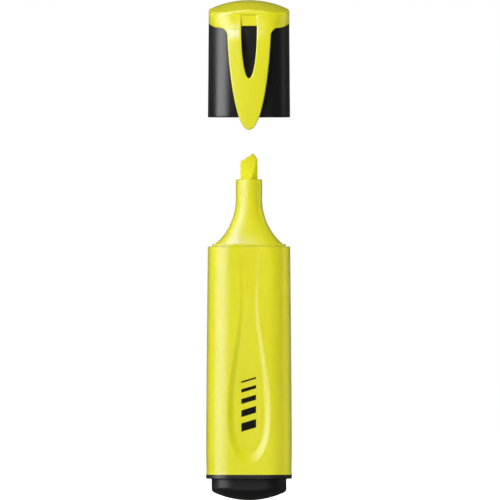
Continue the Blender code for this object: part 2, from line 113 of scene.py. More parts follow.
# Thumb recess
RECESS_END_Z = TAIL_Z + 3.15
FLOOR_END_Z = TAIL_Z + 7.25
BOWL_Z = TAIL_Z + 18.75
WAIST_Z = SHOULDER_Z - 14.54
BOWL_HALF_WIDTH = 6.55
BOWL_ROUNDNESS = 2.3  # power of the superellipse at the bowl's end
WAIST_HALF_WIDTH = 2.8
TOP_HALF_WIDTH = 3.4
BOWL_DEPTH = 0.82
TOP_DEPTH = 0.08
DEPTH_FADE_Z = (TAIL_Z + 12.75, SHOULDER_Z - 2.14)
RECESS_WALL = 2.1
WALL_POWER = 0.6
WALL_BENDS = (0.15, 0.35)  # shares of the wall that bend at its upper edge and at the floor
BOWL_POINTS = 60
UPPER_POINTS = 160

# Neck
NECK_STEPS = 32
NECK_ROOT_GAP = 0.06
COLLAR_HEIGHT = 0.7
COLLAR = (11.05, 7.0, 6.3)
COLLAR_EDGE = 0.12
SPIGOT_CLEARANCE = 0.1
NECK_RADIUS = 3.96
RIM_FILLET = 0.3
RIM_STRETCH = 2.6  # the rounding of the neck's rim is taller than it is wide
FLARE_TOP_Z = NECK_HIGH[2] - 5.8
FLARE_HEIGHT = 17.0
FLARE_REACH = (15.5, 6.7)
FLARE_SQUARENESS = 0.7
FLARE_RINGS = 90
TUBE_RINGS = 12
BORE_RADIUS = 2.75
BORE_EDGE = 0.2
CHAMBER_RADIUS = 5.4
BORE_LENGTH = 8.8
CIRCLE = 2  # power of a superellipse that is a plain ellipse or circle

# Nib
NIB_RADIUS = 2.6
NIB_APEX_X = 1.35
NIB_APEX_RISE = 0.1  # the roundings take this much off the tip
NIB_SLANT = math.radians(32.6)
NIB_CHAMFER = math.radians(-57.0)
WEDGE_ANGLE = math.radians(19.0)
WEDGE_HALF_EDGE = 0.6
WEDGE_ROUNDING = 0.12
SLANT_ROUNDING = 0.3
CHAMFER_ROUNDING = 0.35
NIB_CELL = 0.13
NIB_MARGIN = (0.4, 0.5)  # sideways and lengthways

# Tail plug
PLUG = (11.25, 7.0, 6.2)
PLUG_STEPS = (24, 4, 20, 20)
FLANGE_Z = (TAIL_Z - 1.25, TAIL_Z - 0.01)
FLANGE_LOW_EDGE = 0.12
FLANGE_HIGH_EDGE = 0.03
FLANGE_RINGS = (0.25, 0.5, 0.75)
PLUG_ROOT_FILLET = 0.2
DOME_RADII = (25.0, 10.5)
DOME_FILLET = 0.75
DOME_FILLET_HEIGHT = 0.8  # the rounding of the dome's edge is lower than it is wide
DOME_RINGS = (0.02, 0.08, 0.15, 0.25, 0.35, 0.45, 0.55, 0.65, 0.75, 0.83, 0.89)
PLUG_SPIGOT_INSET = 1.95
PLUG_SPIGOT_WALL = 1.2
PLUG_SPIGOT_END_Z = PLUG_HIGH[2] - 0.4
POINT = 0.02  # a section scaled by this is almost a point

# Cap, in heights above its rim
RIM_Z = SHELL_LOW[2]
RIM = (SHELL_HIGH[0], SHELL_HIGH[1])
CROWN = (CROWN_HIGH[0] - 0.02, CROWN_HIGH[1] - 0.02)
CAP_STEPS = (32, 6, 24, 24)
CAP_WALL = 1.03
CAP_RIM_EDGE = 0.2
CAP_MOUTH_EDGE = 0.25
CAP_RINGS = 24
CAP_RING_SHARES = (0.04, 0.97)
TENON_GAP = 0.1
SKIRT_GAP = 0.05
SKIRT_HEIGHT = 26.7
SKIRT_RISE = 1.4
SKIRT_POWER = 10
SKIRT_EDGE = 0.25
CROWN_TOP = CROWN_HIGH[2] - RIM_Z - 0.2
DOME_RADIUS = 27.0
DOME_SLOPE = 0.61  # towards the front and back the dome falls like a hyperbola, steepest at its edge
DOME_CREST = 2.2
CROWN_WALL = 1.25
CROWN_FILLET = 0.32
CEILING = 29.5
CEILING_WALL = 1.0
CEILING_TAPER = 4.0  # below the skirt's edge the inside starts to narrow towards the tenon

# Clip, in heights above the cap's rim
CLIP_TOP = 26.8
CLIP_TIP = CLIP_LOW[2] - RIM_Z - 0.15
CLIP_HALF_WIDTH = 6.585
CLIP_TAPER = 1.55
TIP_BLUNTNESS = 0.46  # a square root would give an ellipse, and less than that a blunter tip
CLIP_THICKNESS = 1.5
CLIP_PROUD = 3.0
TIP_PROUD = 2.0
CLIP_CAMBER = 0.012
CLIP_FRONT_EDGE = 0.45
CLIP_SIDE_EDGE = 0.4
CLIP_BACK_EDGE = 0.3
CLIP_ROOT_EDGE = 0.2
CLIP_JOIN_FILLET = 0.4
CLIP_BACK_SINK = 3.0  # the clip's back sinks this far into the crown between the next two heights
CLIP_BACK_FADE = (21.5, 26.5)
RAMP = (22.0, 30.5)
RAMP_BENDS = (0.62, 0.38)  # shares of the ramp over which it leaves the crown and meets the clip's face
BULGE_FADE = (3.5, 11.5)  # the clip's root fades out sideways over the crown's face
ROOT_BLEND = (22.0, 27.5)
ROOT_PROUD = 1.5  # how far the root stands on the crown's rounded face, and the ranges in which it fades
ROOT_FADE_UP = (22.0, 29.5)
ROOT_FADE_OUT = (6.5, 10.8)
ROOT_GAP = 0.08
ROOT_FILLET = 2.3
ROOT_BAR_TOP = 29.5
SLOT_TOP = 27.2
SLOT_END = 11.6
SLOT_HALF_WIDTH = 2.35
SLOT_TAPER = 2.1
SLOT_DEPTH = 2.5
SLOT_EDGE = 0.35
CHANNEL_TOP = 30.6  # above the slot a shallow channel runs on into the crown's face
CHANNEL_DEPTH = 0.25
CLIP_CELL = 0.17
CLIP_MARGIN = 0.6
FILLET_POINTS = 14
TONGUE_POINTS = 90
SLOT_POINTS = 60

# Print
STROKES = 5
STROKE_HALF_LENGTH = 2.2
STROKE_SLANT = 0.3
STROKE_STEP = 0.5  # each stroke is wider than the one before by this, which is also the first one's width
STROKE_GAP = 1.9
STROKE_HALF_THICKNESS = 0.03
STROKE_CELLS = (24, 10)
GAUGE_X = -0.1
GAUGE_TOP_Z = TAIL_Z + 28.65

SHARP_ANGLE = 40  # degrees between two faces above which their edge is shaded sharp


# Curves

def ease(value, start, end):
    """0 before start, 1 after end and a smooth change between them."""
    share = np.clip((value - start) / (end - start), 0.0, 1.0)
    return share * share * (3 - 2 * share)


def soft_ramp(share, head, foot):
    """A straight ramp from 0 to 1 whose ends are rounded over the shares head and foot."""
    share = np.clip(share, 0.0, 1.0)
    total = 1 - head / 2 - foot / 2
    straight = share - head / 2
    start = share * share / (2 * head)
    end = total - (1 - share) ** 2 / (2 * foot)
    ramp = np.where(share < head, start, np.where(share > 1 - foot, end, straight))
    return ramp / total


def smooth_max(a, b, radius):
    """The larger of two distances, with the edge between them rounded."""
    overlap = np.maximum(radius - np.abs(a - b), 0)
    return np.maximum(a, b) + overlap * overlap / (4 * radius)


def smooth_min(a, b, radius):
    return -smooth_max(-a, -b, radius)


def fillet(radius, steps):
    """(inset, drop) pairs of a quarter round, from the flat face's edge round to the side."""
    angles = [math.pi / 2 * i / steps for i in range(steps + 1)]
    return [(radius * (1 - math.sin(t)), radius * (1 - math.cos(t))) for t in angles]


# Meshes

def new_mesh(name, points, faces, material, body=None, flat_angle=None):
    """A mesh object from points in millimetres and faces, all with the same number of corners."""
    points = np.asarray(points, np.float64) * MM
    faces = np.asarray(faces, np.int32)
    mesh = bpy.data.meshes.new(name)
    mesh.vertices.add(len(points))
    mesh.vertices.foreach_set("co", points.astype(np.float32).ravel())
    corners = faces.shape[1]
    mesh.loops.add(faces.size)
    mesh.loops.foreach_set("vertex_index", faces.ravel())
    mesh.polygons.add(len(faces))
    mesh.polygons.foreach_set("loop_start", np.arange(0, faces.size, corners, dtype=np.int32))
    mesh.update(calc_edges=True)
    mesh.validate()
    mesh.shade_smooth()
    if flat_angle:
        mesh.set_sharp_from_angle(angle=math.radians(flat_angle))
    mesh.materials.append(material)
    obj = bpy.data.objects.new(name, mesh)
    bpy.context.scene.collection.objects.link(obj)
    if body:
        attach(obj, body)
    return obj


def skin(rings, wrap=True):
    """Points and quads of rings joined in order, and the last one to the first if wrap is set."""
    rings = np.asarray(rings, np.float64)
    count, size = rings.shape[:2]
    index = np.arange(count * size).reshape(count, size)
    low = index if wrap else index[:-1]
    high = np.roll(index, -1, axis=0) if wrap else index[1:]
    quads = np.stack([low, np.roll(low, -1, axis=1), np.roll(high, -1, axis=1), high], axis=-1)
    return rings.reshape(-1, 3), quads.reshape(-1, 4)


def facing_out(points, faces):
    """The faces, turned round if they enclose a negative volume."""
    corner = points[faces]
    first = np.einsum("ij,ij->i", corner[:, 0], np.cross(corner[:, 1], corner[:, 2]))
    second = np.einsum("ij,ij->i", corner[:, 0], np.cross(corner[:, 2], corner[:, 3]))
    return faces[:, ::-1] if first.sum() + second.sum() < 0 else faces


def closed_skin(name, rings, material, body, flat_angle=SHARP_ANGLE):
    points, faces = skin(rings)
    return new_mesh(name, points, facing_out(points, faces), material, body, flat_angle)


def rounded_rectangle(half_width, half_depth, corner, corner_steps, side_steps, back_steps, front_steps):
    """Anticlockwise (x, y) points, from where the right side meets the back corner. Flats are divided too."""
    inner_x, inner_y = half_width - corner, half_depth - corner
    quarters = ((inner_x, inner_y), (-inner_x, inner_y), (-inner_x, -inner_y), (inner_x, -inner_y))
    flats = (back_steps, side_steps, front_steps, side_steps)
    points = []
    for quarter, (centre, flat) in enumerate(zip(quarters, flats)):
        centre = np.array(centre)
        angles = (quarter + np.arange(corner_steps) / corner_steps) * math.pi / 2
        points.append(centre + corner * np.stack([np.cos(angles), np.sin(angles)], axis=1))
        turn = (quarter + 1) * math.pi / 2
        out = corner * np.array([math.cos(turn), math.sin(turn)])
        following = np.array(quarters[(quarter + 1) % 4])
        along = np.arange(flat)[:, None] / flat
        points.append(centre + out + (following - centre) * along)
    return np.concatenate(points)


def even_section(half_width, half_depth, corner, steps):
    """Rounded rectangle without divided flats, so that its points also suit a circle."""
    angles = (np.arange(4 * steps) + 0.5) / steps * math.pi / 2
    side_x = np.sign(np.cos(angles)) * (half_width - corner)
    side_y = np.sign(np.sin(angles)) * (half_depth - corner)
    return np.stack([side_x + corner * np.cos(angles), side_y + corner * np.sin(angles)], axis=1)


def superellipse(half_width, half_depth, power, steps):
    angles = (np.arange(4 * steps) + 0.5) / steps * math.pi / 2
    cosine, sine = np.cos(angles), np.sin(angles)
    x = half_width * np.sign(cosine) * np.abs(cosine) ** (2 / power)
    y = half_depth * np.sign(sine) * np.abs(sine) ** (2 / power)
    return np.stack([x, y], axis=1)


def at_height(section, z):
    """A ring from a section. z is a number or one height for each point."""
    section = np.asarray(section)
    return np.column_stack([section, np.broadcast_to(z, len(section))])


def edge_crossings(field, axis):
    """Which grid edges along an axis the zero surface crosses, and at what share of their length."""
    near = np.take(field, range(field.shape[axis] - 1), axis)
    far = np.take(field, range(1, field.shape[axis]), axis)
    crossed = (near < 0) != (far < 0)
    return crossed, np.where(crossed, near / np.where(crossed, near - far, 1.0), 0.0)


def crossing_means(crossings, shape):
    """The mean place of the crossings on each cell's twelve edges, in cells, and their number."""
    total = np.zeros(shape + (3,))
    count = np.zeros(shape)
    for axis, (crossed, share) in enumerate(crossings):
        a, b = [other for other in range(3) if other != axis]
        for shift_a, shift_b in ((0, 0), (0, 1), (1, 0), (1, 1)):
            window = [slice(None)] * 3
            window[a] = slice(shift_a, shift_a + shape[a])
            window[b] = slice(shift_b, shift_b + shape[b])
            window = tuple(window)
            count += crossed[window]
            total[..., axis] += share[window]
            total[..., a] += shift_a * crossed[window]
            total[..., b] += shift_b * crossed[window]
    return total / np.maximum(count, 1)[..., None], count


def quads_across(crossed, axis, number, inside):
    """One quad for each crossed edge along an axis, from the points of the four cells around it."""
    shape = number.shape
    a, b = (axis + 1) % 3, (axis + 2) % 3
    edge = np.argwhere(crossed)
    edge = edge[(edge[:, a] > 0) & (edge[:, a] < shape[a]) & (edge[:, b] > 0) & (edge[:, b] < shape[b])]
    corners = []
    for back_a, back_b in ((1, 1), (0, 1), (0, 0), (1, 0)):
        cell_index = edge.copy()
        cell_index[:, a] -= back_a
        cell_index[:, b] -= back_b
        corners.append(number[tuple(cell_index.T)])
    quad = np.stack(corners, axis=1)
    outward = inside[tuple(edge.T)]
    return np.where(outward[:, None], quad, quad[:, ::-1])


def surface_net(field, low, cell):
    """Points and quads of a sampled field's zero surface.

    Each cell that the surface crosses has a point, and each grid edge that it crosses has a quad.
    """
    crossings = [edge_crossings(field, axis) for axis in range(3)]
    shape = tuple(n - 1 for n in field.shape)
    means, count = crossing_means(crossings, shape)
    used = count > 0
    number = np.full(shape, -1, np.int64)
    number[used] = np.arange(used.sum())
    points = np.argwhere(used) + means[used]
    quads = [quads_across(crossed, axis, number, field < 0) for axis, (crossed, _) in enumerate(crossings)]
    return points * cell + np.array(low), np.concatenate(quads)


def grid(low, high, cell):
    """Coordinates of a field's samples, as three arrays that broadcast together."""
    axes = [np.arange(a, b + cell, cell) for a, b in zip(low, high)]
    return np.meshgrid(*axes, indexing="ij", sparse=True)


def outline_distance(x, z, outline):
    """Distance in the x-z plane from each sample to a closed outline, negative inside it."""
    flat_x, flat_z = np.broadcast_arrays(x, z)
    query = np.column_stack([flat_x.ravel(), flat_z.ravel()])
    start, end = outline, np.roll(outline, -1, axis=0)
    best = np.full(len(query), np.inf)
    inside = np.zeros(len(query), bool)
    for (x0, z0), (x1, z1) in zip(start, end):
        step_x, step_z = x1 - x0, z1 - z0
        length = step_x * step_x + step_z * step_z
        if length == 0:
            continue
        share = np.clip(((query[:, 0] - x0) * step_x + (query[:, 1] - z0) * step_z) / length, 0, 1)
        distance = np.hypot(query[:, 0] - x0 - share * step_x, query[:, 1] - z0 - share * step_z)
        best = np.minimum(best, distance)
        if step_z != 0:
            crosses = (query[:, 1] >= z0) != (query[:, 1] >= z1)
            at = x0 + (query[:, 1] - z0) / step_z * step_x
            inside ^= crosses & (query[:, 0] < at)
    return np.where(inside, -best, best).reshape(flat_x.shape)


# Materials

GRAZING_SHADE_FACING = (0.4, 0.85)  # 1 minus the cosine of the angles at which the painted shade towards the outline starts and is full
PLASTIC_IOR = 1.56
DRAWN_OUT = (1, 1, 0.4)  # stretches a noise along the pen


def node_material(name):
    """A material with a Principled shader, and functions that add and link its nodes."""
    material = bpy.data.materials.new(name)
    material.use_nodes = True
    tree = material.node_tree
    shader = tree.nodes["Principled BSDF"]

    def add(kind, **settings):
        node = tree.nodes.new(kind)
        for key, value in settings.items():
            if key in node.inputs:
                node.inputs[key].default_value = value
            else:
                setattr(node, key, value)
        return node

    def link(source, target):
        tree.links.new(source, target)

    return material, shader, add, link


def stretched_noise(add, link, scale, detail, stretch=(1, 1, 1)):
    """Noise over the object's own coordinates, stretched along its axes."""
    place = add("ShaderNodeTexCoord")
    mapping = add("ShaderNodeMapping", Scale=stretch)
    noise = add("ShaderNodeTexNoise", Scale=scale, Detail=detail, Roughness=0.55)
    link(place.outputs["Object"], mapping.inputs["Vector"])
    link(mapping.outputs["Vector"], noise.inputs["Vector"])
    return noise.outputs["Fac"]


def ranged(add, link, source, low, high, start=0.0, end=1.0):
    """Turns values from start to end into values from low to high."""
    node = add("ShaderNodeMapRange")
    node.inputs["From Min"].default_value = start
    node.inputs["From Max"].default_value = end
    node.inputs["To Min"].default_value = low
    node.inputs["To Max"].default_value = high
    link(source, node.inputs["Value"])
    return node.outputs["Result"]


def mixed(add, link, factor, first, second):
    """A mix of two colours. Either can be a colour or another node's output."""
    node = add("ShaderNodeMix", data_type="RGBA")
    link(factor, node.inputs[0])
    for colour, target in ((first, node.inputs[6]), (second, node.inputs[7])):
        if isinstance(colour, bpy.types.NodeSocket):
            link(colour, target)
        else:
            target.default_value = colour
    return node.outputs[2]


def bump(add, link, shader, height, strength, distance):
    node = add("ShaderNodeBump", Strength=strength, Distance=distance)
    link(height, node.inputs["Height"])
    link(node.outputs["Normal"], shader.inputs["Normal"])


def plastic(name, colour, shade, edge, grazing_shade, roughness, grain, gloss, tint=(1, 1, 1, 1)):
    """Moulded plastic with slight clouds in its colour, pale worn edges, uneven gloss and a fine mould grain.

    A painted shade darkens the colour where the surface is seen at a low angle, towards its outline.
    """
    material, shader, add, link = node_material(name)
    clouds = stretched_noise(add, link, scale=90, detail=3, stretch=DRAWN_OUT)
    cloudy = mixed(add, link, ranged(add, link, clouds, 0, 1, start=0.35, end=0.65), shade, colour)
    geometry = add("ShaderNodeNewGeometry")
    edges = ranged(add, link, geometry.outputs["Pointiness"], 0, 1, start=0.52, end=0.62)
    scuffs = stretched_noise(add, link, scale=500, detail=4)
    worn = add("ShaderNodeMath", operation="MULTIPLY")
    link(edges, worn.inputs[0])
    link(ranged(add, link, scuffs, 0, 0.8, start=0.4, end=0.62), worn.inputs[1])
    handled_colour = mixed(add, link, worn.outputs[0], cloudy, edge)
    # Painted shade: a darker colour is mixed in where the surface turns away from the view, towards its
    # outline.
    facing = add("ShaderNodeLayerWeight", Blend=0.5)
    grazing_shade_mask = ranged(add, link, facing.outputs["Facing"], 0, 1, *GRAZING_SHADE_FACING)
    link(mixed(add, link, grazing_shade_mask, handled_colour, grazing_shade), shader.inputs["Base Color"])
    touched = stretched_noise(add, link, scale=160, detail=5, stretch=(1, 1, 0.25))
    uneven = ranged(add, link, touched, roughness * 0.85, roughness * 1.2, start=0.3, end=0.7)
    link(uneven, shader.inputs["Roughness"])
    fine = stretched_noise(add, link, scale=9000, detail=2)
    bump(add, link, shader, fine, strength=grain, distance=0.00002)
    shader.inputs["IOR"].default_value = PLASTIC_IOR
    shader.inputs["Specular IOR Level"].default_value = gloss
    shader.inputs["Specular Tint"].default_value = tint
    return material


def fibre(name, colour, dark):
    """Bonded fibre with fine streaks along the nib, a colour that is darker where the same streaks sink the
    bump, and hardly any gloss.
    """
    material, shader, add, link = node_material(name)
    streaks = stretched_noise(add, link, scale=4200, detail=4, stretch=(1, 1, 0.06))
    patches = stretched_noise(add, link, scale=700, detail=3)
    both = add("ShaderNodeMath", operation="ADD")
    link(ranged(add, link, streaks, 0, 0.7, start=0.35, end=0.65), both.inputs[0])
    link(ranged(add, link, patches, 0, 0.3, start=0.35, end=0.65), both.inputs[1])
    link(mixed(add, link, both.outputs[0], dark, colour), shader.inputs["Base Color"])
    shader.inputs["Roughness"].default_value = 0.75
    shader.inputs["Sheen Weight"].default_value = 0.05
    shader.inputs["Specular IOR Level"].default_value = 0.15
    bump(add, link, shader, both.outputs[0], strength=0.35, distance=0.00006)
    return material


def milky(name):
    """Unpigmented polypropylene with a faint flow pattern."""
    material, shader, add, link = node_material(name)
    flow = stretched_noise(add, link, scale=300, detail=3, stretch=(1, 1, 0.2))
    link(mixed(add, link, flow, (0.55, 0.56, 0.52, 1), (0.8, 0.8, 0.77, 1)), shader.inputs["Base Color"])
    link(ranged(add, link, flow, 0.3, 0.5), shader.inputs["Roughness"])
    shader.inputs["Subsurface Weight"].default_value = 0.2
    shader.inputs["Subsurface Radius"].default_value = (0.001, 0.001, 0.001)
    return material


def printed_ink(name):
    """Black ink with a faint speckle in its colour and its gloss."""
    material, shader, add, link = node_material(name)
    speckle = stretched_noise(add, link, scale=2500, detail=3)
    thin = ranged(add, link, speckle, 0, 1, start=0.6, end=0.8)
    worn = mixed(add, link, thin, (0.003, 0.002, 0.001, 1), (0.012, 0.010, 0.003, 1))
    link(worn, shader.inputs["Base Color"])
    link(ranged(add, link, speckle, 0.35, 0.6), shader.inputs["Roughness"])
    shader.inputs["Specular IOR Level"].default_value = 0.15
    return material


# Barrel

def barrel_half_width(z):
    share = np.clip((z - TAIL_Z) / (SHOULDER_Z - TAIL_Z), 0, 1)
    return TAIL_HALF_WIDTH - (TAIL_HALF_WIDTH - SHOULDER_HALF_WIDTH) * share ** TAPER_POWER


def recess_half_width(z, bowl_half_width, bowl_end):
    """Half width of a spoon shape: a superellipse at the bowl's end, then a cosine down to the waist."""
    z = np.asarray(z, float)
    bowl_share = np.clip((BOWL_Z - z) / (BOWL_Z - bowl_end), 0, 1)
    bowl = bowl_half_width * (1 - bowl_share ** BOWL_ROUNDNESS) ** (1 / BOWL_ROUNDNESS)
    along = np.clip((z - BOWL_Z) / (WAIST_Z - BOWL_Z), 0, 1)
    spread = (1 + np.cos(math.pi * along)) / 2
    upper = WAIST_HALF_WIDTH + (BOWL_HALF_WIDTH - WAIST_HALF_WIDTH) * spread
    upper += (TOP_HALF_WIDTH - WAIST_HALF_WIDTH) * ease(z, WAIST_Z, SHOULDER_Z)
    wall = (BOWL_HALF_WIDTH - bowl_half_width) * (upper / BOWL_HALF_WIDTH) ** WALL_POWER
    return np.where(z < BOWL_Z, bowl, upper - wall)


def recess_outline(bowl_half_width, bowl_end):
    """The right-hand edge of a spoon shape as (x, z) points. They crowd together at the bowl's end."""
    turn = np.sin(np.linspace(0, math.pi / 2, BOWL_POINTS))
    bowl = BOWL_Z - (BOWL_Z - bowl_end) * turn[::-1]
    upper = np.linspace(BOWL_Z, SHOULDER_Z + RECESS_WALL, UPPER_POINTS)
    z = np.concatenate([bowl, upper[1:]])
    return np.column_stack([recess_half_width(z, bowl_half_width, bowl_end), z])


def nearest(points, outline):
    """Distance from each point to the nearest point of an outline."""
    gap = points[:, None, :] - outline[None, :, :]
    return np.sqrt(np.min(np.einsum("ijk,ijk->ij", gap, gap), axis=1))


def recess_depth(x, z):
    """How far the front face is pushed in. A wall slopes down from the edge's outline to the floor's."""
    x, z = np.broadcast_arrays(np.abs(x), z)
    edge = (BOWL_HALF_WIDTH, RECESS_END_Z)
    floor = (BOWL_HALF_WIDTH - RECESS_WALL, FLOOR_END_Z)
    within = (x < recess_half_width(z, *edge)) & (z > RECESS_END_Z)
    depth = np.zeros(x.shape)
    points = np.column_stack([x[within], z[within]])
    from_edge = nearest(points, recess_outline(*edge))
    to_floor = nearest(points, recess_outline(*floor))
    on_floor = (points[:, 0] < recess_half_width(points[:, 1], *floor)) & (points[:, 1] > FLOOR_END_Z)
    share = np.where(on_floor, 1.0, from_edge / (from_edge + to_floor))
    deepest = BOWL_DEPTH + (TOP_DEPTH - BOWL_DEPTH) * ease(points[:, 1], *DEPTH_FADE_Z)
    depth[within] = deepest * soft_ramp(share, *WALL_BENDS)
    return depth


def barrel_section(z, inset=0.0):
    half_width = barrel_half_width(z) - inset
    return rounded_rectangle(half_width, HALF_DEPTH - inset, CORNER - inset, *BARREL_STEPS)


def pushed_in(ring):
    """A ring of the barrel with the thumb recess in its front."""
    front = ring[:, 1] < 0
    ring[front, 1] += recess_depth(ring[front, 0], ring[front, 2])
    return ring


def make_barrel(material):
    """Shell with the recess in its front and a fine raised rim round its tail end."""
    tail_edge = fillet(RIM_EDGE, steps=3)
    rings = [at_height(barrel_section(TAIL_Z, inset), TAIL_Z + rise) for inset, rise in tail_edge]
    rim_top = TAIL_Z + RIM_HEIGHT
    heights = np.concatenate([
        [rim_top],
        np.linspace(rim_top + RIM_SLOPE, RECESS_END_Z - RING_STARTS[0], PLAIN_RINGS),
        np.arange(RECESS_END_Z - RING_STARTS[1], FINE_RINGS_END_Z, FINE_RING_STEP),
        np.linspace(FINE_RINGS_END_Z, SHOULDER_Z - EDGE, COARSE_RINGS),
    ])
    for z in heights:
        inset = 0 if z < rim_top + RIM_SLOPE / 2 else RIM_STEP * (1 - ease(z, *RIM_FADE_Z))
        rings.append(pushed_in(at_height(barrel_section(z, inset), z)))
    for inset, drop in reversed(fillet(EDGE, steps=5)[:-1]):
        ring = pushed_in(at_height(barrel_section(SHOULDER_Z, inset), SHOULDER_Z))
        ring[:, 2] -= drop
        rings.append(ring)
    mouth = rounded_rectangle(*MOUTH, *BARREL_STEPS)
    cavity_z = SHOULDER_Z - MOUTH_DEPTH
    rings.append(at_height(mouth, SHOULDER_Z))
    rings.append(at_height(mouth, cavity_z))
    for z in (cavity_z - MOUTH_STEP, (TAIL_Z + cavity_z) / 2, TAIL_Z):
        rings.append(at_height(barrel_section(z, BARREL_WALL), z))
    return closed_skin("barrel_body", rings, material, "pen")


# Neck

def flare(z, reach):
    drop = np.clip((FLARE_TOP_Z - z) / FLARE_HEIGHT, 0, 1)
    return NECK_RADIUS + reach * (1 - np.sqrt(1 - drop * drop))


def round_ring(radius, z):
    return at_height(superellipse(radius, radius, CIRCLE, NECK_STEPS), z)


def make_neck(material):
    """Spigot, low collar, flare and tube with a rounded rim, and inside them the bore and a wider chamber."""
    bottom_z, top_z = NECK_LOW[2], NECK_HIGH[2]
    collar_z = SHOULDER_Z + NECK_ROOT_GAP
    collar_top = collar_z + COLLAR_HEIGHT
    spigot = even_section(*[size - SPIGOT_CLEARANCE for size in MOUTH], NECK_STEPS)
    rings = [at_height(spigot, bottom_z), at_height(spigot, collar_z)]
    rings.append(at_height(even_section(*COLLAR, NECK_STEPS), collar_z))
    for inset, drop in reversed(fillet(COLLAR_EDGE, steps=4)):
        section = even_section(*[size - inset for size in COLLAR], NECK_STEPS)
        rings.append(at_height(section, collar_top - drop))
    for z in np.linspace(collar_top, FLARE_TOP_Z, FLARE_RINGS):
        power = CIRCLE + FLARE_SQUARENESS * ease(-z, -FLARE_TOP_Z, -collar_top)
        half_width, half_depth = (flare(z, reach) for reach in FLARE_REACH)
        rings.append(at_height(superellipse(half_width, half_depth, power, NECK_STEPS), z))
    for z in np.linspace(FLARE_TOP_Z, top_z - RIM_FILLET * RIM_STRETCH, TUBE_RINGS)[1:-1]:
        rings.append(round_ring(NECK_RADIUS, z))
    for inset, drop in reversed(fillet(RIM_FILLET, steps=8)):
        rings.append(round_ring(NECK_RADIUS - inset, top_z - drop * RIM_STRETCH))
    for inset, drop in fillet(BORE_EDGE, steps=4):
        rings.append(round_ring(BORE_RADIUS + inset, top_z - drop))
    rings.append(round_ring(BORE_RADIUS, top_z - BORE_LENGTH))
    rings.append(round_ring(CHAMBER_RADIUS, top_z - 2 * BORE_LENGTH))
    rings.append(round_ring(CHAMBER_RADIUS, bottom_z))
    return closed_skin("neck", rings, material, "pen")


# Nib

def nib_field(x, y, z):
    """Round rod with a slanted writing edge, a chamfer beyond it and wedge faces at the front and back."""
    top = NIB_HIGH[2] + NIB_APEX_RISE
    up_x, up_z = -math.sin(NIB_SLANT), math.cos(NIB_SLANT)
    rod = np.hypot(x, y) - NIB_RADIUS
    slant = (x - NIB_APEX_X) * up_x + (z - top) * up_z
    chamfer = -(x - NIB_APEX_X) * math.sin(NIB_CHAMFER) + (z - top) * math.cos(NIB_CHAMFER)
    wedge = (np.abs(y) - WEDGE_HALF_EDGE) * math.cos(WEDGE_ANGLE) + slant * math.sin(WEDGE_ANGLE)
    field = smooth_max(rod, wedge, WEDGE_ROUNDING)
    field = smooth_max(field, slant, SLANT_ROUNDING)
    field = smooth_max(field, chamfer, CHAMFER_ROUNDING)
    return np.maximum(field, NIB_LOW[2] - z)


def make_nib(material):
    side = NIB_RADIUS + NIB_MARGIN[0]
    low = (-side, -side, NIB_LOW[2] - NIB_MARGIN[1])
    high = (side, side, NIB_HIGH[2] + NIB_MARGIN[1])
    points, faces = surface_net(nib_field(*grid(low, high, NIB_CELL)), low, NIB_CELL)
    return new_mesh("chisel_nib", points, faces, material, "pen")


# Tail plug

def tail_dome(section):
    x, y = section[:, 0], section[:, 1]
    drop_x = DOME_RADII[0] - np.sqrt(DOME_RADII[0] ** 2 - x * x)
    drop_y = DOME_RADII[1] - np.sqrt(DOME_RADII[1] ** 2 - y * y)
    return drop_x + drop_y


def plug_section(size, inset=0.0):
    half_width, half_depth, corner = size
    return rounded_rectangle(half_width - inset, half_depth - inset, corner - inset, *PLUG_STEPS)


def dome_rings(plug):
    """The dome from near its middle to the plug's side, round its filleted edge."""
    rings = [at_height(plug * share, tail_dome(plug * share)) for share in DOME_RINGS]
    for inset, rise in fillet(DOME_FILLET, steps=8):
        section = plug_section(PLUG, inset)
        rings.append(at_height(section, tail_dome(section) + rise * DOME_FILLET_HEIGHT))
    return rings


def flange_rings(flange):
    """The fillet at the flange's root, its two edges and its side."""
    low, high = FLANGE_Z
    rings = []
    for inset, rise in reversed(fillet(PLUG_ROOT_FILLET, steps=4)):
        rings.append(at_height(plug_section(PLUG, -inset), low - rise))
    for inset, rise in fillet(FLANGE_LOW_EDGE, steps=3):
        rings.append(at_height(plug_section(flange, inset), low + rise))
    for share in FLANGE_RINGS:
        rings.append(at_height(plug_section(flange), low + share * (high - low)))
    for inset, drop in reversed(fillet(FLANGE_HIGH_EDGE, steps=3)):
        rings.append(at_height(plug_section(flange, inset), high - drop))
    return rings


def spigot_rings(flange):
    """A hollow spigot above the flange, outside first."""
    spigot = tuple(size - PLUG_SPIGOT_INSET for size in flange)
    foot, wall, end_z = FLANGE_Z[1], PLUG_SPIGOT_WALL, PLUG_SPIGOT_END_Z
    corners = ((0, foot), (0, end_z), (wall, end_z), (wall, foot))
    return [at_height(plug_section(spigot, inset), z) for inset, z in corners]


def make_tail_plug(material):
    """Domed plug with a flange, and above the flange a hollow spigot that goes into the barrel."""
    plug = plug_section(PLUG)
    flange = (TAIL_HALF_WIDTH, HALF_DEPTH, CORNER)
    floor_z = FLANGE_Z[1]
    rings = dome_rings(plug) + flange_rings(flange) + spigot_rings(flange)
    rings.append(at_height(plug * POINT, floor_z))
    points, faces = skin(rings, wrap=False)
    bottom, top = len(points), len(points) + 1
    size = len(plug)
    fans = []
    for first, tip in ((0, bottom), (bottom - size, top)):
        around = first + np.arange(size)
        fans.append(np.column_stack([around, np.roll(around, -1), np.full(size, tip)]))
    points = np.vstack([points, [0, 0, 0], [0, 0, floor_z]])
    return closed_with_fans("tail_end_plug", points, faces, np.concatenate(fans), material, "pen")


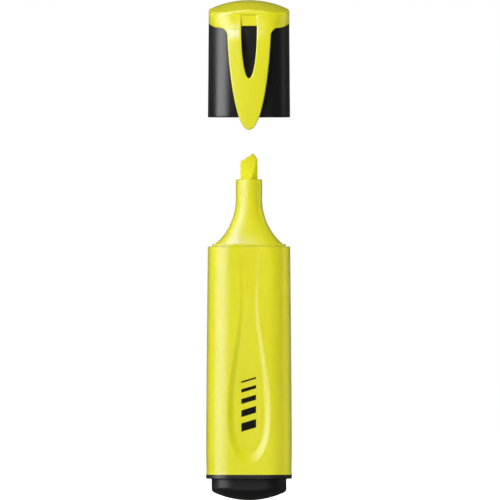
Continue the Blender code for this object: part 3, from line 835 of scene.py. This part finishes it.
def closed_with_fans(name, points, quads, fans, material, body):
    """A mesh of quads whose two open ends are closed by fans of triangles."""
    faces = quads.tolist() + fans.tolist()
    mesh = bpy.data.meshes.new(name)
    mesh.from_pydata((points * MM).tolist(), [], faces)
    obj = bpy.data.objects.new(name, mesh)
    bpy.context.scene.collection.objects.link(obj)
    turned = bmesh.new()
    turned.from_mesh(mesh)
    bmesh.ops.recalc_face_normals(turned, faces=turned.faces)
    turned.to_mesh(mesh)
    turned.free()
    mesh.shade_smooth()
    mesh.set_sharp_from_angle(angle=math.radians(SHARP_ANGLE))
    mesh.materials.append(material)
    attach(obj, body)
    return obj


# Cap shell

def skirt_edge(x):
    return SKIRT_HEIGHT + SKIRT_RISE * np.minimum(np.abs(x) / CROWN[0], 1) ** SKIRT_POWER


def cap_section(size, inset=0.0):
    half_width, half_depth = size
    return rounded_rectangle(half_width - inset, half_depth - inset, CORNER - inset, *CAP_STEPS)


def cap_outside(height, inset=0.0):
    """The cap's section at a height. It narrows evenly from the rim to the skirt's edge."""
    share = height / SKIRT_HEIGHT
    size = [low + (high - low) * share for low, high in zip(RIM, CROWN)]
    return cap_section(size, inset)


def make_cap_shell(material):
    """Tube up to the crown's skirt, then a narrower closed tenon that carries the crown."""
    tenon_inset = CROWN_WALL + TENON_GAP
    inner_inset = tenon_inset + CAP_WALL
    under_crown = cap_section(CROWN)
    tenon = cap_section(CROWN, tenon_inset)
    inner = cap_section(CROWN, inner_inset)
    step = RIM_Z + skirt_edge(under_crown[:, 0]) - SKIRT_GAP
    ceiling = RIM_Z + CEILING
    rings = [at_height(cap_outside(0, inset), RIM_Z + rise) for inset, rise in fillet(CAP_RIM_EDGE, steps=4)]
    for share in np.linspace(*CAP_RING_SHARES, CAP_RINGS):
        rings.append(at_height(cap_outside(share * SKIRT_HEIGHT), RIM_Z + share * SKIRT_HEIGHT))
    rings.append(at_height(under_crown, step))
    rings.append(at_height(tenon, step))
    rings.append(at_height(tenon, ceiling + CEILING_WALL))
    rings.append(at_height(tenon * POINT, ceiling + CEILING_WALL))
    rings.append(at_height(tenon * POINT, ceiling))
    rings.append(at_height(inner, ceiling))
    rings.append(at_height(inner, RIM_Z + SKIRT_HEIGHT - CEILING_TAPER))
    for inset, rise in reversed(fillet(CAP_MOUTH_EDGE, steps=4)):
        rings.append(at_height(cap_outside(0, CAP_WALL - inset), RIM_Z + rise))
    return closed_skin("cap_tube", rings, material, "cap")


# Crown and clip, which are one moulding

def section_distance(x, y, half_width, half_depth, corner):
    """Distance to a rounded rectangle's outline, negative inside."""
    out_x = np.abs(x) - (half_width - corner)
    out_y = np.abs(y) - (half_depth - corner)
    outside = np.hypot(np.maximum(out_x, 0), np.maximum(out_y, 0))
    return outside + np.minimum(np.maximum(out_x, out_y), 0) - corner


def dome_distance(x, y, z, top):
    """Distance to the crown's top: round from side to side and a hyperbola from front to back."""
    root = np.sqrt(np.maximum(DOME_RADIUS ** 2 - x * x, 1))
    fall = np.hypot(DOME_CREST, DOME_SLOPE * y)
    height = top - (DOME_RADIUS - root) - (fall - DOME_CREST)
    return (z - height) / np.sqrt(1 + (x / root) ** 2 + (DOME_SLOPE ** 2 * y / fall) ** 2)


def proud(z):
    """How far the clip's front face stands in front of the cap's face."""
    rise = soft_ramp((RAMP[1] - z) / (RAMP[1] - RAMP[0]), *RAMP_BENDS)
    along = np.clip((RAMP[0] - z) / (RAMP[0] - CLIP_TIP), 0, 1)
    return (CLIP_PROUD + (TIP_PROUD - CLIP_PROUD) * along ** 2) * rise


def bulge(x, z):
    """How far the crown and the clip stand in front of the cap's flat face, with the clip's camber."""
    rise = proud(z)
    fade = ease(np.abs(x), *BULGE_FADE) * ease(z, *ROOT_BLEND)
    return rise * (1 - fade) - CLIP_CAMBER * x * x * rise / CLIP_PROUD


def root_proud(x, z):
    """How far the clip's root may stand out of the crown's rounded side."""
    return ROOT_PROUD * (1 - ease(z, *ROOT_FADE_UP)) * (1 - ease(np.abs(x), *ROOT_FADE_OUT))


def clip_half_width(z):
    """Half width of the tongue, which widens with a fillet where it meets the crown."""
    share = np.clip((CLIP_TOP - z) / (CLIP_TOP - CLIP_TIP), 0, 1)
    half = CLIP_HALF_WIDTH * (1 - share ** CLIP_TAPER) ** TIP_BLUNTNESS
    above = np.clip(z - (SKIRT_HEIGHT - ROOT_FILLET), 0, ROOT_FILLET)
    return half + ROOT_FILLET - np.sqrt(ROOT_FILLET ** 2 - above ** 2)


def mirrored_outline(half_width, z):
    right = np.column_stack([half_width, z])
    left = np.column_stack([-half_width[::-1], z[::-1]])
    return np.vstack([right, left])


def clip_outline():
    """The tapering tongue with a fillet at its root, and above it a bar hidden in the crown."""
    tongue_top = CLIP_TOP - ROOT_FILLET
    turn = np.sin(np.linspace(0, math.pi / 2, TONGUE_POINTS))
    z = np.concatenate([
        np.linspace(SKIRT_HEIGHT, tongue_top, FILLET_POINTS)[:-1],
        tongue_top + (CLIP_TIP - tongue_top) * turn,
    ])
    bar_end = ROOT_FADE_OUT[1]
    bar = [(bar_end, ROOT_BAR_TOP), (bar_end, float(skirt_edge(bar_end)))]
    edge = np.vstack([bar, np.column_stack([clip_half_width(z), z])])
    return mirrored_outline(edge[:, 0], edge[:, 1])


def slot_outline():
    """The teardrop slot and the channel above it."""
    turn = np.sin(np.linspace(0, math.pi / 2, SLOT_POINTS))
    z = np.concatenate([[CHANNEL_TOP], SLOT_TOP + (SLOT_END - SLOT_TOP) * turn])
    share = np.clip((SLOT_TOP - z) / (SLOT_TOP - SLOT_END), 0, 1)
    return mirrored_outline(SLOT_HALF_WIDTH * np.sqrt(1 - share ** SLOT_TAPER), z)


def front_outline_distance(x, z, outline):
    """Distance to an outline that is drawn in the front view, for a whole grid."""
    return outline_distance(x[:, 0, :], z[:, 0, :], outline)[:, None, :]


def crown_body(x, y, z, side):
    """The dome and its skirt."""
    body = smooth_max(side, dome_distance(x, y, z, CROWN_TOP), 2 * CROWN_FILLET)
    return smooth_max(body, skirt_edge(x) - z, SKIRT_EDGE)


def clip_body(x, y, z, side, face):
    """The tongue, between its face and its back, and clear of the cap shell below the skirt."""
    forward = -y
    clip = smooth_max(front_outline_distance(x, z, clip_outline()), forward - face, CLIP_FRONT_EDGE)
    clip = smooth_max(clip, side - root_proud(x, z), CLIP_SIDE_EDGE)
    back = face - CLIP_THICKNESS - CLIP_BACK_SINK * ease(z, *CLIP_BACK_FADE)
    clip = smooth_max(clip, back - forward, CLIP_BACK_EDGE)
    off_shell = ROOT_GAP - section_distance(x, y, *RIM, CORNER)
    return smooth_max(clip, np.where(z > SKIRT_HEIGHT, -CLIP_THICKNESS, off_shell), CLIP_ROOT_EDGE)


def crown_field(x, y, z):
    """Distance to the crown and clip, in heights above the cap's rim, with rounded and filleted edges."""
    face = CROWN[1] + bulge(x, z)
    side = section_distance(x, np.where(y < 0, np.minimum(y + bulge(x, z), 0), y), *CROWN, CORNER)
    field = smooth_min(crown_body(x, y, z, side), clip_body(x, y, z, side, face), CLIP_JOIN_FILLET)
    floor = np.where(z > SLOT_TOP, CROWN[1] - CHANNEL_DEPTH, CROWN[1] - SLOT_DEPTH) + y
    slot = np.maximum(front_outline_distance(x, z, slot_outline()), floor)
    field = smooth_max(field, -slot, SLOT_EDGE)
    inside = [size - CROWN_WALL for size in (*CROWN, CORNER)]
    hollow = np.maximum(section_distance(x, y, *inside), dome_distance(x, y, z, CROWN_TOP - CROWN_WALL))
    return np.maximum(field, -hollow)


def make_crown_and_clip(material):
    low = (-CROWN[0] - CLIP_MARGIN, -CROWN[1] - CLIP_PROUD - CLIP_MARGIN, CLIP_TIP - CLIP_MARGIN)
    high = (CROWN[0] + CLIP_MARGIN, CROWN[1] + CLIP_MARGIN, CROWN_TOP + CLIP_MARGIN)
    points, faces = surface_net(crown_field(*grid(low, high, CLIP_CELL)), low, CLIP_CELL)
    points[:, 2] += RIM_Z
    return new_mesh("crown_and_clip", points, faces, material)


# Print in the thumb recess: a gauge of the pen's stroke widths

def slab_faces(columns, rows):
    """Quads of a slab whose front and back are grids of points, the front's first."""
    index = np.arange(rows * columns).reshape(rows, columns)
    corners = [index[:-1, :-1], index[:-1, 1:], index[1:, 1:], index[1:, :-1]]
    front = np.stack(corners, axis=-1).reshape(-1, 4)
    back = front[:, ::-1] + index.size
    rim = np.concatenate([index[0, :-1], index[:-1, -1], index[-1, :0:-1], index[:0:-1, 0]])
    following = np.roll(rim, -1)
    sides = np.stack([following, rim, rim + index.size, following + index.size], axis=-1)
    return np.concatenate([front, back, sides])


def stroke_points(top_z, width):
    """Front and back points of one slanted stroke, which follows the recess's floor."""
    columns, rows = STROKE_CELLS
    along, across = np.meshgrid(np.linspace(-1, 1, columns), np.linspace(0, 1, rows))
    x = GAUGE_X + along * STROKE_HALF_LENGTH
    z = top_z - across * width + along * STROKE_HALF_LENGTH * STROKE_SLANT
    y = -HALF_DEPTH + recess_depth(x, z)
    front = np.stack([x, y - STROKE_HALF_THICKNESS, z], axis=-1).reshape(-1, 3)
    back = np.stack([x, y + STROKE_HALF_THICKNESS, z], axis=-1).reshape(-1, 3)
    return np.concatenate([front, back])


def make_stroke_gauge(material):
    """Slanted strokes, each wider than the one before, laid on the recess's floor."""
    points, faces = [], []
    top_z = GAUGE_TOP_Z
    for stroke in range(STROKES):
        width = STROKE_STEP * (stroke + 1)
        piece = stroke_points(top_z, width)
        faces.append(slab_faces(*STROKE_CELLS) + stroke * len(piece))
        points.append(piece)
        top_z -= width + STROKE_GAP
    points, faces = np.concatenate(points), np.concatenate(faces)
    return new_mesh("stroke_gauge_print", points, facing_out(points, faces), material, "pen", SHARP_ANGLE)


# Studio, in metres

AIM = Vector((0, 0, 0.075))
YELLOW_CARD = (1.0, 0.78, 0.0)
WORLD_STRENGTH = {"camera": 1.0, "glossy": 0.1, "diffuse": 0.22}
FLOOR_SIDE = 6.0
FLOOR_GAP = 0.0002
FLOOR_GLOW = 0.85
CAMERA_DISTANCE = 5.0
CAMERA_SENSOR = 36.0
VIEW_WIDTH = 0.150
OFF_CENTRE = (0.0003, -0.0000445)  # the photo is taken from slightly right of the middle and below it


def make_light(name, azimuth, distance, height, size, radiance, in_gloss):
    """An area light aimed at the pen. Azimuth 0 is the camera's side, and negative is to its left.

    It shines either in reflections only or on matt colour only, so that gloss and shade can be set apart.
    """
    light = bpy.data.lights.new(name, "AREA")
    light.shape = "RECTANGLE"
    light.size, light.size_y = size
    light.energy = radiance * math.pi * light.size * light.size_y
    turn = math.radians(azimuth)
    obj = bpy.data.objects.new(name, light)
    obj.location = (distance * math.sin(turn), -distance * math.cos(turn), height)
    obj.rotation_euler = (AIM - obj.location).to_track_quat("-Z", "Y").to_euler()
    obj.visible_camera = False
    obj.visible_glossy = in_gloss
    obj.visible_diffuse = not in_gloss
    bpy.context.scene.collection.objects.link(obj)
    return obj


def gloss_light(name, azimuth, distance, height, size, radiance):
    return make_light(name, azimuth, distance, height, size, radiance, in_gloss=True)


def shade_light(name, azimuth, distance, height, size, radiance):
    return make_light(name, azimuth, distance, height, size, radiance, in_gloss=False)


def make_yellow_card(light, pieces):
    """Colours a light yellow and lets it shine on the yellow pieces only."""
    lit = bpy.data.collections.new("lit_by_yellow_card")
    for piece in pieces:
        lit.objects.link(piece)
    light.data.color = YELLOW_CARD
    light.light_linking.receiver_collection = lit


def make_lights(yellow_pieces):
    gloss_light("left_gloss", azimuth=-59, distance=0.55, height=0.40, size=(0.52, 1.20), radiance=5.5)
    gloss_light("left_edge", azimuth=-31, distance=0.60, height=0.40, size=(0.24, 1.20), radiance=3.6)
    gloss_light("top_gloss", azimuth=-24, distance=0.35, height=0.66, size=(0.30, 0.30), radiance=4.5)
    shade_light("top_fill", azimuth=-26, distance=0.35, height=0.66, size=(0.36, 0.36), radiance=6.0)
    shade_light("front_fill", azimuth=-32, distance=1.20, height=0.20, size=(1.00, 0.80), radiance=3.35)
    shade_light("right_rim", azimuth=128, distance=0.60, height=0.10, size=(0.20, 0.50), radiance=9.0)
    gloss_light("right_strip", azimuth=94, distance=0.60, height=0.08, size=(0.20, 0.80), radiance=0.5)
    card = gloss_light("yellow_card", azimuth=94, distance=0.50, height=0.08, size=(0.20, 0.80), radiance=5.0)
    make_yellow_card(card, yellow_pieces)
    shade_light("back_left", azimuth=-140, distance=0.80, height=0.30, size=(0.40, 0.50), radiance=6.0)


def make_world():
    """White for the camera, dim in reflections and in between for matt surfaces."""
    world = bpy.data.worlds.new("studio")
    bpy.context.scene.world = world
    world.use_nodes = True
    nodes, links = world.node_tree.nodes, world.node_tree.links
    rays = nodes.new("ShaderNodeLightPath")
    gloss = nodes.new("ShaderNodeMapRange")
    gloss.inputs["To Min"].default_value = WORLD_STRENGTH["diffuse"]
    gloss.inputs["To Max"].default_value = WORLD_STRENGTH["glossy"]
    links.new(rays.outputs["Is Glossy Ray"], gloss.inputs["Value"])
    seen = nodes.new("ShaderNodeMix")
    links.new(rays.outputs["Is Camera Ray"], seen.inputs[0])
    links.new(gloss.outputs["Result"], seen.inputs[2])
    seen.inputs[3].default_value = WORLD_STRENGTH["camera"]
    links.new(seen.outputs[0], nodes["Background"].inputs["Strength"])
    nodes["Background"].inputs["Color"].default_value = (1, 1, 1, 1)


def make_floor():
    """Near-white paper. A glow that only the camera sees keeps it as pale as the background."""
    material, shader, add, link = node_material("floor_paper")
    speckle = stretched_noise(add, link, scale=40, detail=3)
    link(mixed(add, link, speckle, (0.80, 0.80, 0.80, 1), (0.84, 0.84, 0.84, 1)), shader.inputs["Base Color"])
    shader.inputs["Roughness"].default_value = 0.9
    rays = add("ShaderNodeLightPath")
    shader.inputs["Emission Color"].default_value = (1, 1, 1, 1)
    link(ranged(add, link, rays.outputs["Is Camera Ray"], 0, FLOOR_GLOW), shader.inputs["Emission Strength"])
    signs = ((-1, -1), (1, -1), (1, 1), (-1, 1))
    corners = [(x * FLOOR_SIDE / MM, y * FLOOR_SIDE / MM, -FLOOR_GAP / MM) for x, y in signs]
    floor = new_mesh("floor", corners, [(0, 1, 2, 3)], material)
    floor.visible_glossy = False


def make_camera():
    """Long lens square to the front, far enough off that the view has almost no perspective."""
    low, high = cad_bounds
    middle_z = (low[2] + high[2]) / 2
    camera = bpy.data.cameras.new("camera")
    camera.sensor_width = CAMERA_SENSOR
    camera.lens = CAMERA_SENSOR * CAMERA_DISTANCE / VIEW_WIDTH
    camera.clip_end = 2 * CAMERA_DISTANCE
    obj = bpy.data.objects.new("camera", camera)
    obj.location = (OFF_CENTRE[0], -CAMERA_DISTANCE, middle_z + OFF_CENTRE[1])
    obj.rotation_euler = (math.pi / 2, 0, 0)
    bpy.context.scene.collection.objects.link(obj)
    bpy.context.scene.camera = obj


# Assembly

def show_instead(piece, slot, *nodes):
    """Hides the CAD nodes that a piece stands in for, so that the piece shows instead."""
    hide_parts(*nodes)


PITCH = (0.003, 0.003, 0.0032, 1)
CHARCOAL = (0.005, 0.005, 0.005, 1)
yellow = plastic(
    "yellow_plastic", colour=(0.80, 0.77, 0.004, 1), shade=(0.76, 0.73, 0.003, 1), edge=(0.85, 0.83, 0.1, 1),
    grazing_shade=(0.40, 0.40, 0.01, 1), roughness=0.29, grain=0.25, gloss=0.6, tint=(0, 0.06, 1, 1),
)
black = plastic(
    "black_plastic", colour=PITCH, shade=CHARCOAL, edge=(0.03, 0.03, 0.03, 1),
    grazing_shade=PITCH, roughness=0.34, grain=0.3, gloss=0.47,
)
satin = plastic(
    "satin_black_plastic", colour=PITCH, shade=CHARCOAL, edge=(0.02, 0.02, 0.02, 1),
    grazing_shade=PITCH, roughness=0.47, grain=0.3, gloss=0.5,
)
inked = fibre("inked_fibre", colour=(0.90, 0.87, 0.010, 1), dark=(0.74, 0.71, 0.006, 1))
film = milky("milky_plastic")
ink = printed_ink("printed_ink")

barrel = make_barrel(yellow)
neck = make_neck(yellow)
nib = make_nib(inked)
plug = make_tail_plug(satin)
shell = make_cap_shell(black)
crown = make_crown_and_clip(yellow)
gauge = make_stroke_gauge(ink)

show_instead(barrel, "yellow_plastic", "barrel")
show_instead(neck, "yellow_plastic", "nib_section")
show_instead(nib, "inked_fibre", "nib")
show_instead(plug, "black_plastic", "tail_plug")
show_instead(shell, "black_plastic", "cap_shell")
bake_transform(crown)
show_instead(crown, "yellow_plastic", "cap_crown", "clip")
for node, material in (("ink_reservoir", inked), ("reservoir_wrap", film), ("inner_cap", film)):
    for slot_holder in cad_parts[node].material_slots:
        slot_holder.material = material

make_floor()
make_lights([barrel, neck, nib, crown])
make_world()
make_camera()
bpy.context.scene.view_settings.view_transform = "Standard"
